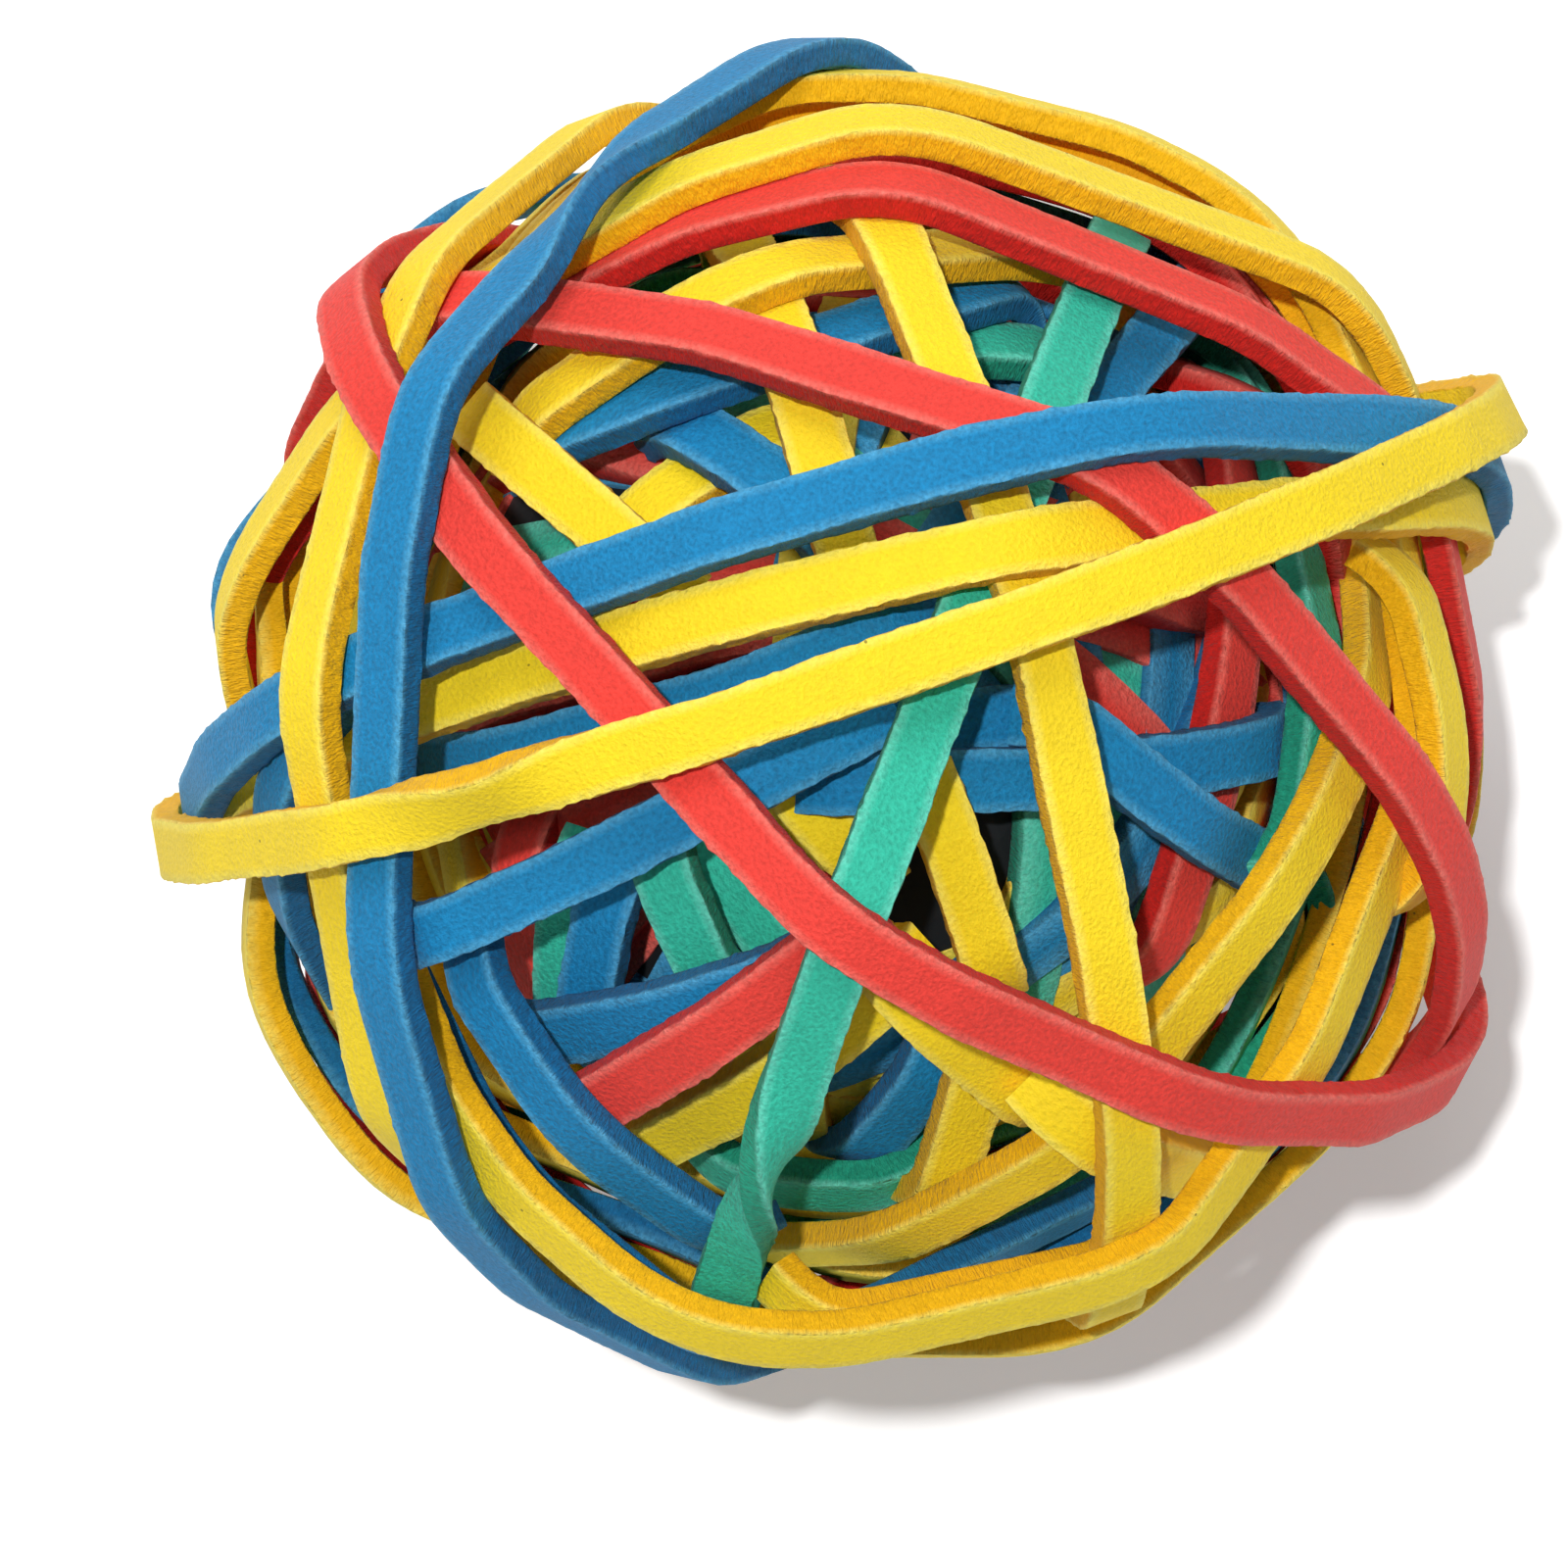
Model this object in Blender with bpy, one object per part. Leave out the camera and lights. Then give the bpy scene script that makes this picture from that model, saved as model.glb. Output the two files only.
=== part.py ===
"""A rubber band ball: flat rubber bands wound over a round core, lying on its hidden side.

Sizes are in millimetres up to the last step, which turns them into metres.
The seen side of the ball faces +Z. The ball rests on the ground plane.
"""

import math

import bmesh
import bpy
import numpy as np

# Driving sizes
BALL_DIAMETER = 65.0      # the aim for the whole ball, over the outermost bands
BAND_WIDTH = 3.0          # a band's face
BAND_THICKNESS = 1.3      # a band's cut edge
GAP = 0.2                 # clearance between one band and what it lies on
CORE_RADIUS = 23.0        # the wound core under the outer bands
CORE_OFFSET = (0.5, -0.3, -1.0)    # the core's centre, away from where most bands cross
SPOT_DIAMETER = 65.0      # the ball's diameter on which the spots in SEEN_BANDS are given
SIGHT_DISTANCE = 640.0    # how far above the centre the eye is that reads them
CORNERS = 26              # corners in the loop of one band
PLANE_ROUNDS = 2          # how often a loop's plane and its seen height are matched
ROUNDS = 3                # how often a band's path and the heights below it are matched
DEEPEST = 0.74            # where the first band is seen, as a share of the ball's radius
MOST_OFFSET = 0.55        # how far off centre a loop may lie, as a share of its radius
PART_OFFSET = 0.70        # the same for a partly modelled band
FACE_STEP = 1.0           # degrees between the places where the height below is felt
SIDE_STEP = 0.45          # the same across a band, in mm
TUCK = 3.5                # how far a partly seen band runs on under its neighbours
FAR = 1000.0              # stands for a face that is out of reach
CLOSEST = 0.012           # least angle between two corners, in radians
END_SPARE = 0.03          # how far past its ends a part band still feels the heights, in radians
LEAST_COSINE = 0.2        # a face turned further away than this bears nothing
LEAST_REACH = 1.0         # keeps a loop open where its plane lies above the heights
SIDE_CLEARANCES = 1.5     # clearances kept beside a band, where the next one lies
END_CLEARANCES = 2.0      # clearances kept past the ends of a part band
UPRIGHT = 0.9             # a plane flatter than this measures its angles from the x axis
CORE_DIVISIONS = 3        # how finely the core's ball is divided
METRE = 0.001             # one millimetre in metres

# Colours of the four rubbers and of the core, as linear values
RED = (0.838, 0.064, 0.056)
YELLOW = (0.955, 0.701, 0.014)
BLUE = (0.018, 0.188, 0.479)
GREEN = (0.040, 0.462, 0.301)
CORE_COLOUR = (0.030, 0.028, 0.030)
RUBBER_ROUGHNESS = 0.7

# A band modelled all round the ball, and one of which only the seen stretch is modelled
ROUND, PART = "round", "part"

# The outer bands in the order of winding, innermost first. Each has the middle line of its
# seen side as two or three points (x, y) in mm, seen from straight above the centre.
# Two points stand for a loop round the middle of the ball.
SEEN_BANDS = (
    ("green_01", GREEN, PART, (-5.7, -7.9), (-3.0, -11.8)),
    ("red_01", RED, PART, (-16.5, -7.7), (-15.3, -13.9)),
    ("green_02", GREEN, PART, (-13.9, -9.1), (-13.1, -13.9)),
    ("blue_01", BLUE, PART, (-11.3, -8.7), (-11.6, -13.5)),
    ("green_03", GREEN, PART, (-8.9, -7.9), (-6.8, -12.5)),
    ("blue_02", BLUE, PART, (0.8, -21.4), (4.2, -17.3)),
    ("green_04", GREEN, PART, (-5.4, -22.5), (1.8, -23.2)),
    ("green_05", GREEN, PART, (6.6, -26.0), (11.9, -22.4)),
    ("yellow_01", YELLOW, PART, (6.6, -17.3), (4.9, -22.8)),
    ("blue_03", BLUE, PART, (-0.1, -0.2), (9.0, 0.5)),
    ("yellow_02", YELLOW, PART, (-2.3, -3.4), (-0.1, -6.0)),
    ("blue_04", BLUE, PART, (-14.6, -23.8), (-8.8, -26.7)),
    ("yellow_03", YELLOW, PART, (-26.6, -10.6), (-27.3, -14.4), (-24.7, -19.2)),
    ("yellow_04", YELLOW, PART, (-10.7, 10.1), (-3.8, 14.7)),
    ("blue_05", BLUE, PART, (-7.8, 14.9), (-3.0, 11.7)),
    ("green_06", GREEN, PART, (-15.3, 18.4), (-8.8, 23.0)),
    ("green_07", GREEN, PART, (5.4, 19.0), (10.0, 18.8)),
    ("red_02", RED, PART, (4.2, 28.4), (9.0, 28.4), (12.4, 27.3)),
    ("red_03", RED, PART, (17.6, 17.8), (19.3, 5.8), (15.5, -10.6)),
    ("blue_06", BLUE, PART, (-14.1, 13.9), (-4.5, 17.4), (8.5, 21.3)),
    ("yellow_05", YELLOW, PART, (-6.2, 25.7), (-1.6, 14.4), (1.1, 4.8)),
    ("yellow_06", YELLOW, PART, (-15.3, 15.6), (0.3, 23.2), (14.8, 21.9)),
    ("yellow_07", YELLOW, PART, (-18.4, 15.4), (-10.7, 8.7)),
    ("blue_07", BLUE, PART, (0.8, -3.1), (7.1, -2.9), (21.5, -1.1)),
    ("yellow_08", YELLOW, PART, (5.1, -5.3), (7.1, -11.3)),
    ("yellow_09", YELLOW, PART, (-10.2, -21.6), (-5.0, -19.0), (1.8, -13.9)),
    ("yellow_10", YELLOW, PART, (3.2, -13.7), (9.0, -18.5)),
    ("blue_08", BLUE, PART, (-15.5, -15.6), (-9.8, -15.4), (-4.0, -12.9)),
    ("red_04", RED, PART, (-13.1, -19.2), (-7.8, -17.8), (-1.6, -11.8)),
    ("yellow_13", YELLOW, PART, (23.7, -11.8), (21.0, -17.1)),
    ("green_08", GREEN, PART, (22.7, -10.8), (19.1, -15.9), (15.7, -19.7)),
    ("blue_10", BLUE, PART, (11.9, -1.2), (20.5, -7.5), (25.3, -10.6)),
    ("green_09", GREEN, PART, (19.3, 18.0), (22.9, 6.7), (22.5, -4.8)),
    ("blue_11", BLUE, PART, (-20.8, -2.4), (-13.1, -1.2), (1.8, 4.3)),
    ("blue_13", BLUE, PART, (-18.2, -13.5), (-14.6, -21.4), (-6.9, -25.1)),
    ("blue_12", BLUE, PART, (-20.8, -10.7), (-11.7, -6.7), (-0.1, -0.7)),
    ("blue_14", BLUE, PART, (18.1, 22.4), (12.8, 16.4)),
    ("blue_15", BLUE, PART, (-26.6, 8.7), (-28.5, 2.4), (-28.3, 0.0)),
    ("yellow_17", YELLOW, ROUND, (26.1, 6.7), (20.5, -9.4), (1.8, -25.7)),
    ("green_10", GREEN, ROUND, (12.8, 23.1), (4.2, 1.0), (-5.2, -25.0)),
    ("blue_09", BLUE, ROUND, (-4.0, -29.3), (6.6, -30.1), (23.4, -17.8)),
    ("yellow_11", YELLOW, PART, (-0.6, -28.6), (4.2, -29.1), (11.9, -26.2)),
    ("yellow_12", YELLOW, PART, (11.9, -20.2), (18.1, -22.4)),
    ("yellow_19", YELLOW, ROUND, (-3.0, 29.8), (9.5, 4.8), (14.0, -24.5)),
    ("red_06", RED, ROUND, (-26.1, 18.5), (-29.2, 12.5), (-30.4, 6.7)),
    ("yellow_16", YELLOW, ROUND, (-24.2, 14.9), (-28.0, 8.7), (-30.4, 1.9)),
    ("yellow_15", YELLOW, ROUND, (-19.9, -18.8), (-14.6, -26.1), (-5.0, -30.2)),
    ("yellow_14", YELLOW, PART, (28.5, 6.3), (31.0, -0.5), (29.7, -6.3)),
    ("red_05", RED, ROUND, (1.8, 26.9), (19.6, 23.3), (31.6, 0.0)),
    ("yellow_18", YELLOW, ROUND, (-10.2, 26.5), (9.0, 30.5), (23.4, 21.6)),
    ("yellow_20", YELLOW, ROUND, (-27.1, -1.4), (-3.0, 6.3), (21.0, 10.5)),
    ("blue_16", BLUE, PART, (-27.1, -0.2), (-28.6, -9.1), (-27.6, -15.9)),
    ("red_07", RED, ROUND, (-14.6, 20.9), (6.6, 15.4), (27.8, -2.9)),
    ("blue_17", BLUE, ROUND, (-14.1, 6.7), (6.6, 13.2), (27.3, 14.7)),
    ("yellow_21", YELLOW, ROUND, (-14.2, 28.4), (-24.4, 12.0), (-24.9, -10.1)),
    ("red_08", RED, ROUND, (-23.7, 16.4), (-5.0, -6.0), (21.0, -19.7)),
    ("blue_18", BLUE, ROUND, (-10.7, 28.4), (-22.5, 6.7), (-20.3, -22.1)),
    ("yellow_22", YELLOW, ROUND, (-30.0, -6.3), (-0.6, 1.7), (28.7, 13.0)),
)


# Small helpers for directions
def unit(vectors):
    """The vectors at length one."""
    vectors = np.asarray(vectors, float)
    return vectors / np.linalg.norm(vectors, axis=-1, keepdims=True)


def on_ball(spot, radius):
    """The point on a ball of this radius that the eye above sees at (x, y)."""
    eye = np.array([0.0, 0.0, SIGHT_DISTANCE])
    x, y = np.array(spot) * BALL_DIAMETER / SPOT_DIAMETER
    ray = unit(np.array([x, y, 0.0]) - eye)
    along = -float(eye @ ray)
    reach = radius ** 2 - float(eye @ eye) + along ** 2
    return eye + ray * (along - math.sqrt(max(reach, 0.0)))


# The plane that a loop of band lies in
def plane_of(kind, spots, radii):
    """Direction of the plane's normal, and its distance from the ball's centre."""
    points = [on_ball(spot, radius) for spot, radius in zip(spots, radii)]
    if len(points) == 2:
        return unit(np.cross(points[0], points[1])), 0.0
    normal = unit(np.cross(points[1] - points[0], points[2] - points[0]))
    offset = float(normal @ points[0])
    most = MOST_OFFSET if kind == ROUND else PART_OFFSET
    if abs(offset) < most * min(radii):
        return normal, offset
    return unit(np.cross(points[0], points[2])), 0.0


class Loop:
    """One closed loop of band: its plane, its corners and its outer face."""

    def __init__(self, kind, spots, radii):
        self.normal, self.offset = plane_of(kind, spots, radii)
        upright = abs(self.normal[2]) < UPRIGHT
        seed = (0.0, 0.0, 1.0) if upright else (1.0, 0.0, 0.0)
        self.first = unit(np.cross(self.normal, seed))
        self.second = np.cross(self.normal, self.first)
        self.closed = kind == ROUND
        self.start, self.span = 0.0, 2 * math.pi
        if not self.closed:
            self.start, self.span = self.stretch(spots, radii)
        count = max(3, round(CORNERS * self.span / (2 * math.pi)))
        self.faces = self.start + (np.arange(count) + 0.5 * (not self.closed)) * self.span / count

    def turns_of(self, spots, radii):
        """The angles at which the loop passes the spots."""
        points = [on_ball(spot, radius) for spot, radius in zip(spots, radii)]
        return [math.atan2(point @ self.second, point @ self.first) for point in points]

    def stretch(self, spots, radii):
        """Where a partly modelled band starts, and the angle that it covers."""
        turns = self.turns_of(spots, radii)
        swing = (turns[-1] - turns[0] + math.pi) % (2 * math.pi) - math.pi
        first = min(turns[0], turns[0] + swing)
        tuck = TUCK / math.sqrt(radii[0] ** 2 - self.offset ** 2)
        return first - tuck, abs(swing) + 2 * tuck

    def seen_radii(self, spots, radii):
        """Radius of the outer face where the loop passes each spot."""
        inner = self.inner_reach(np.array(self.turns_of(spots, radii)))
        return np.sqrt(np.minimum(inner, BALL_DIAMETER) ** 2 + self.offset ** 2) + BAND_THICKNESS

    def covers(self, angles, spare=0.0):
        """Whether the band is there at each of these angles."""
        if self.closed:
            return np.ones(np.shape(angles), bool)
        past = (angles - self.start + spare) % (2 * math.pi)
        return past <= self.span + 2 * spare

    def spoke(self, angles):
        """Directions within the loop's plane, at these angles."""
        return np.cos(angles)[:, None] * self.first + np.sin(angles)[:, None] * self.second

    def place(self, angles, reach):
        """Points at these angles and these distances from the loop's own middle."""
        return self.offset * self.normal + reach[:, None] * self.spoke(angles)

    def wind(self, angles, floor):
        """Pulls the loop tight round the heights below it."""
        reach = np.sqrt(np.maximum(floor ** 2 - self.offset ** 2, LEAST_REACH))
        reach = np.where(self.covers(angles, END_SPARE), reach, 0.0)
        turned = np.cos(angles[None, :] - self.faces[:, None])
        self.support = (reach[None, :] * turned).max(axis=1)

    def corners(self):
        """Where neighbouring straight stretches meet, as points in the loop's plane."""
        after = np.roll(self.faces, -1)
        reach = np.roll(self.support, -1)
        across = np.sin(after - self.faces)
        flat = np.stack([
            (self.support * np.sin(after) - reach * np.sin(self.faces)) / across,
            (reach * np.cos(self.faces) - self.support * np.cos(after)) / across,
        ], axis=1)
        return flat if self.closed else flat[:-1]

    def stations(self):
        """The angles of the band's corners, and of the ends of a partly modelled band."""
        flat = self.corners()
        angles = np.arctan2(flat[:, 1], flat[:, 0])
        past = np.sort((angles - self.start) % (2 * math.pi))
        if not self.closed:
            inside = (past > CLOSEST / 2) & (past < self.span - CLOSEST / 2)
            past = np.concatenate([[0.0], past[inside], [self.span]])
        kept = [past[0]]
        for turn in past[1:]:
            if turn - kept[-1] > CLOSEST:
                kept.append(turn)
        if not self.closed:
            kept[-1] = self.span
        elif kept[0] + 2 * math.pi - kept[-1] < CLOSEST:
            kept.pop()
        return self.start + np.array(kept)

    def inner_reach(self, angles):
        """Distance of the inner face from the loop's own middle, at these angles."""
        turned = np.cos(np.asarray(angles)[..., None] - self.faces)
        facing = turned > LEAST_COSINE
        safe = np.where(facing, turned, 1.0)
        return np.where(facing, self.support / safe, FAR).min(axis=-1)

    def outer_radius(self, directions):
        """Radius of the outer face over each direction, or zero where the band is not there."""
        angles = np.arctan2(directions @ self.second, directions @ self.first)
        inner = self.inner_reach(angles)
        radius = np.sqrt(inner ** 2 + self.offset ** 2) + BAND_THICKNESS
        middle = unit(self.place(angles, inner))
        aside = np.linalg.norm(directions - middle, axis=1) * radius
        flat = np.sqrt(radius ** 2 + aside ** 2)
        beside = aside < BAND_WIDTH / 2 + SIDE_CLEARANCES * GAP
        there = beside & self.covers(angles, END_CLEARANCES * GAP / radius.min())
        return np.where(there, flat, 0.0)


# The core, which lies a little off the ball's centre
def core_radius(directions):
    """How far the core reaches from the ball's centre, in each direction."""
    along = directions @ np.array(CORE_OFFSET)
    aside = np.dot(CORE_OFFSET, CORE_OFFSET) - along ** 2
    return along + np.sqrt(CORE_RADIUS ** 2 - aside)


# Winding one band over those before it
def height_below(loop, angles, reach, earlier):
    """The radius that the inner face needs at each angle to clear everything wound before."""
    middle = loop.place(angles, reach)
    out = unit(middle)
    ahead = np.cross(loop.normal, loop.spoke(angles))
    side = unit(np.cross(out, ahead))
    places = 1 + 2 * math.ceil((BAND_WIDTH / 2 + GAP) / SIDE_STEP)
    shifts = np.linspace(-1.0, 1.0, places)[:, None] * (BAND_WIDTH / 2 + GAP)
    looking = unit(middle + side * shifts[:, :, None]).reshape(-1, 3)
    top = core_radius(looking)
    for other in earlier:
        top = np.maximum(top, other.outer_radius(looking))
    top = top.reshape(places, -1) + GAP
    return np.sqrt(top ** 2 - shifts ** 2).max(axis=0)


def wound(kind, spots, radii, earlier):
    """A loop of this kind through the spots, pulled tight over the earlier ones."""
    angles = np.radians(np.arange(0.0, 360.0, FACE_STEP))
    for _ in range(round(PLANE_ROUNDS)):
        loop = Loop(kind, spots, radii)
        reach = np.full(len(angles), math.sqrt(radii.mean() ** 2 - loop.offset ** 2))
        loop.wind(angles, height_below(loop, angles, reach, earlier))
        radii = loop.seen_radii(spots, radii)
    loop = Loop(kind, spots, radii)
    reach = np.full(len(angles), math.sqrt(radii.mean() ** 2 - loop.offset ** 2))
    floor = np.zeros(len(angles))
    for _ in range(round(ROUNDS)):
        floor = np.maximum(floor, height_below(loop, angles, reach, earlier))
        loop.wind(angles, floor)
        reach = np.minimum(loop.inner_reach(angles), BALL_DIAMETER)
    return loop


def wound_loops():
    """All the loops, in the order of winding."""
    loops = []
    for index, (name, colour, kind, *spots) in enumerate(SEEN_BANDS):
        share = DEEPEST + (1.0 - DEEPEST) * index / (len(SEEN_BANDS) - 1)
        radii = np.full(len(spots), BALL_DIAMETER / 2 * share)
        loops.append(wound(kind, spots, radii, loops))
    return loops


# Meshes
def band_mesh(loop):
    """Corner points and faces of one band, four points at each station."""
    stations = loop.stations()
    middle = loop.place(stations, loop.inner_reach(stations))
    out = unit(middle)
    ahead = np.cross(loop.normal, loop.spoke(stations))
    side = unit(np.cross(out, ahead))
    half = side * BAND_WIDTH / 2
    thick = out * BAND_THICKNESS
    inner = (middle - half, middle + half)
    outer = (middle + half + thick, middle - half + thick)
    rings = np.stack([*inner, *outer], axis=1)
    count = len(stations)
    faces = []
    if not loop.closed:
        faces.append((0, 1, 2, 3))
        faces.append((4 * count - 1, 4 * count - 2, 4 * count - 3, 4 * count - 4))
    for station in range(count if loop.closed else count - 1):
        here, there = 4 * station, 4 * ((station + 1) % count)
        for corner in range(4):
            next_corner = (corner + 1) % 4
            faces.append((here + corner, there + corner, there + next_corner, here + next_corner))
    return rings.reshape(-1, 3), faces


def rubber(name, colour):
    """A matte rubber of one colour."""
    material = bpy.data.materials.new(name)
    material.use_nodes = True
    shader = material.node_tree.nodes["Principled BSDF"]
    shader.inputs["Base Color"].default_value = (*colour, 1.0)
    shader.inputs["Roughness"].default_value = RUBBER_ROUGHNESS
    material.diffuse_color = (*colour, 1.0)
    return material


def add_object(name, points, faces, colour):
    """One closed body from points in mm."""
    mesh = bpy.data.meshes.new(name)
    mesh.from_pydata([tuple(point) for point in np.asarray(points) * METRE], [], faces)
    mesh.materials.append(rubber(f"{name}_rubber", colour))
    mesh.update()
    body = bpy.data.objects.new(name, mesh)
    bpy.context.scene.collection.objects.link(body)
    return body


def face_out(body):
    """Turns all faces outward."""
    work = bmesh.new()
    work.from_mesh(body.data)
    bmesh.ops.recalc_face_normals(work, faces=work.faces)
    if work.calc_volume(signed=True) < 0:
        bmesh.ops.reverse_faces(work, faces=work.faces)
    work.to_mesh(body.data)
    work.free()


def wound_core(shift):
    """The ball of inner bands, as one round body."""
    work = bmesh.new()
    bmesh.ops.create_icosphere(work, subdivisions=CORE_DIVISIONS, radius=CORE_RADIUS)
    centre = shift + CORE_OFFSET
    points = [tuple(np.array(vertex.co) + centre) for vertex in work.verts]
    faces = [[vertex.index for vertex in face.verts] for face in work.faces]
    work.free()
    face_out(add_object("wound_core", points, faces, CORE_COLOUR))


def clear_scene():
    """Removes whatever the scene starts with."""
    for item in list(bpy.data.objects):
        bpy.data.objects.remove(item)


def build():
    """Winds the ball, sets it on the ground plane and centres it over the origin."""
    clear_scene()
    shapes = [band_mesh(loop) for loop in wound_loops()]
    corners = np.concatenate([points for points, _ in shapes])
    low, high = corners.min(axis=0), corners.max(axis=0)
    shift = np.array([-(low[0] + high[0]) / 2, -(low[1] + high[1]) / 2, -low[2]])
    wound_core(shift)
    for (name, colour, *_), (points, faces) in zip(SEEN_BANDS, shapes):
        face_out(add_object(f"band_{name}", points + shift, faces, colour))


build()
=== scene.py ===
"""Looks of the rubber band ball: every band re-made along its solid's path, in grained rubber."""

import logging
import math
from dataclasses import dataclass
from enum import Enum
from typing import Sequence

import bmesh
import bpy
import numpy as np
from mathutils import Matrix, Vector


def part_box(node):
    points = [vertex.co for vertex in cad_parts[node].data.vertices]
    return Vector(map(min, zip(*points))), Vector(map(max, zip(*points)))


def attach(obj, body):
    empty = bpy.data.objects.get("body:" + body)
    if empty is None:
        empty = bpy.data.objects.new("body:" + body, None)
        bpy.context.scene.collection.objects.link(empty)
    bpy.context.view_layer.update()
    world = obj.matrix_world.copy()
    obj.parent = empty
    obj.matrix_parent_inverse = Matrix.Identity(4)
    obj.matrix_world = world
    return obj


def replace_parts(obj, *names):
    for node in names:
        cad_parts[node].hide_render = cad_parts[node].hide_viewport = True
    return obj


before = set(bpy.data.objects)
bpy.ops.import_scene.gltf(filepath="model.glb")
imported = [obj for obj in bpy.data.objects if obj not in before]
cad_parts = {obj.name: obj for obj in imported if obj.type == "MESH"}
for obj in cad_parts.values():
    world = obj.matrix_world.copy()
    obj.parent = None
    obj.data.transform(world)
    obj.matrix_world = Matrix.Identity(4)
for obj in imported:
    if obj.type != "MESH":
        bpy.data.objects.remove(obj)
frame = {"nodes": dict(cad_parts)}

LOG = logging.getLogger("rubber_band_ball")

MM = 0.001

# A band's cross-section and its line. Corners are shares of half the width and of the thickness
BAND_WIDTH = 3.0 * MM
BAND_THICKNESS = 1.42 * MM
SOLID_THICKNESS = 1.3 * MM
ARRIS = 0.07 * MM
FACE_CORNERS = (-0.62, -0.2, 0.2, 0.62)
EDGE_CORNERS = (0.75, 0.5, 0.25)
STEP_ALONG = 0.42 * MM
FEWEST_POINTS = 8
SMOOTHING = 1.2 * MM
SMOOTH_REACH = 2.5  # in widths of the smoothing
DIP_LENGTH = 4.0 * MM
DIP_DEPTH = 2.0 * MM
SHARP_ANGLE = math.radians(50.0)
LEAST_LENGTH = 1e-12

# How a solid is sliced: a loop's middle lies within a share of its mean radius from the centre
LOOP_SHARE = 0.65
LOOP_SLICES = 180
STRIP_SLICES = 60
STRIP_TRIM = 0.015  # share of a strip's arc that is left out at each end

# How far cut rubber strays from its true section, point by point and slowly along the band
CUT_ROUGHNESS = 0.032 * MM
ARRIS_ROUGHNESS = 0.010 * MM
WIDTH_WANDER = 0.035 * MM
HEIGHT_WANDER = 0.012 * MM
WANDER_LENGTH = 4.0 * MM

# The bands under the modelled ones, wound from the outermost inward, those along the rim first
INNER_BANDS = 96
RIM_BANDS = 16
RIM_RISE = 0.985  # how much a rim band's loop faces the eye
INNER_REACH = 29.6 * MM  # farthest out in front
LIMB_REACH = 32.8 * MM  # farthest out at the rim
LIMB_HEIGHT = 0.5  # the rim's belt to either side, as a share of the radius
LIMB_LEAST = 29.5 * MM  # a modelled band below this may be wound over in that belt
INNER_STEP = 1.1 * MM
INNER_SLICES = 240
INNER_SMOOTHING = 1.8 * SMOOTHING
INNER_GAP = 0.10 * MM
INNER_SLOPE = 0.42  # steepest rise along a band
SIDE_SLOPE = 1.5  # steepest rise beside a band that lies above
INNER_STACK = 0.03 * MM  # how much deeper each next band may lie
INNER_SCATTER = 0.08
GOLDEN_RISE = 0.618034
GOLDEN_TURN = math.pi * (3 - math.sqrt(5))
STEEP = 0.8  # a loop that faces the eye more than this is laid out from X, not from Z
ROWS_AT_ONCE = 64

# The dark middle, a ball of painted shade seen in the deep gaps between bands, and how far below the
# solid core's face the deepest bands may lie
CORE_OFFSET = (0.5 * MM, -0.3 * MM, -1.0 * MM)
CORE_DIVISIONS = 4
CORE_SUNK = 2.5 * MM
INNER_SUNK = 1.2 * MM

# Where the random draws start
WINDING_SEED = 11
INNER_SEED = 500

# The picture: where the eye is, and how the ball lies in the frame
SIGHT_DISTANCE = 640.0 * MM
PICTURE_WIDTH = 76.96 * MM
PICTURE_PIXELS = 1600.0
BALL_LEFT_RIGHT = 63.0 / PICTURE_PIXELS
BALL_UP_DOWN = 60.0 / PICTURE_PIXELS
SENSOR = 36.0
NEAREST_SEEN = 0.01
FARTHEST_SEEN = 10.0
FAR_SIDE = 1e3

# The studio, in metres, watts and degrees
WHITE = (1.0, 1.0, 1.0, 1.0)
PAPER = (0.86, 0.86, 0.86, 1.0)
FLOOR_REACH = 3.0
FLOOR_DROP = 0.2 * MM
FLOOR_GLOW = 0.15
WORLD_LIGHT = 0.30
SUN_TOWARDS = (-0.10, 0.10, 1.0)
SUN_ANGLE = 1.8
SUN_STRENGTH = 2.05
WINDOW_SPOT = (-0.14, 0.52, 0.62)
WINDOW_SIZE = 0.45
WINDOW_POWER = 2.5


class Tint(Enum):
    """The rubbers' colours, under the names of the record's material slots, and the near-black
    painted shade of the ball's middle.
    """

    RED = "red_rubber"
    YELLOW = "yellow_rubber"
    BLUE = "blue_rubber"
    GREEN = "green_rubber"
    # Near-black painted shade for the deep gaps in the ball's middle, not a rubber of the ball
    PAINTED_SHADE = "inner_rubber"


@dataclass(frozen=True)
class RubberFinish:
    """What one coloured rubber gives the eye.

    Attributes:
        tint: The record's slot that it is for.
        face: Colour of a moulded face, as sRGB hex.
        edge: Colour of a cut edge, which looks deeper.
        line: Colour of the worn arris between the two.
        grain_depth: How strong the pebbled grain is, as a bump's share.
        specks: How large the dark specks in the rubber are, where one is the full size.
        pigment: How much the grain changes the colour.
    """

    tint: Tint
    face: str
    edge: str
    line: str
    grain_depth: float = 0.75
    specks: float = 0.0
    pigment: float = 0.8


@dataclass(frozen=True)
class Roll:
    """A place where a band turns over as it runs.

    Attributes:
        node: The band that rolls.
        spot: Where it does, in mm right of and above the ball's middle in the picture.
        length: How much of the band the roll takes.
        turn: The whole angle that it turns by, in degrees.
        back: Whether it turns back again within the same length.
    """

    node: str
    spot: tuple[float, float]
    length: float
    turn: float
    back: bool = False


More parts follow.
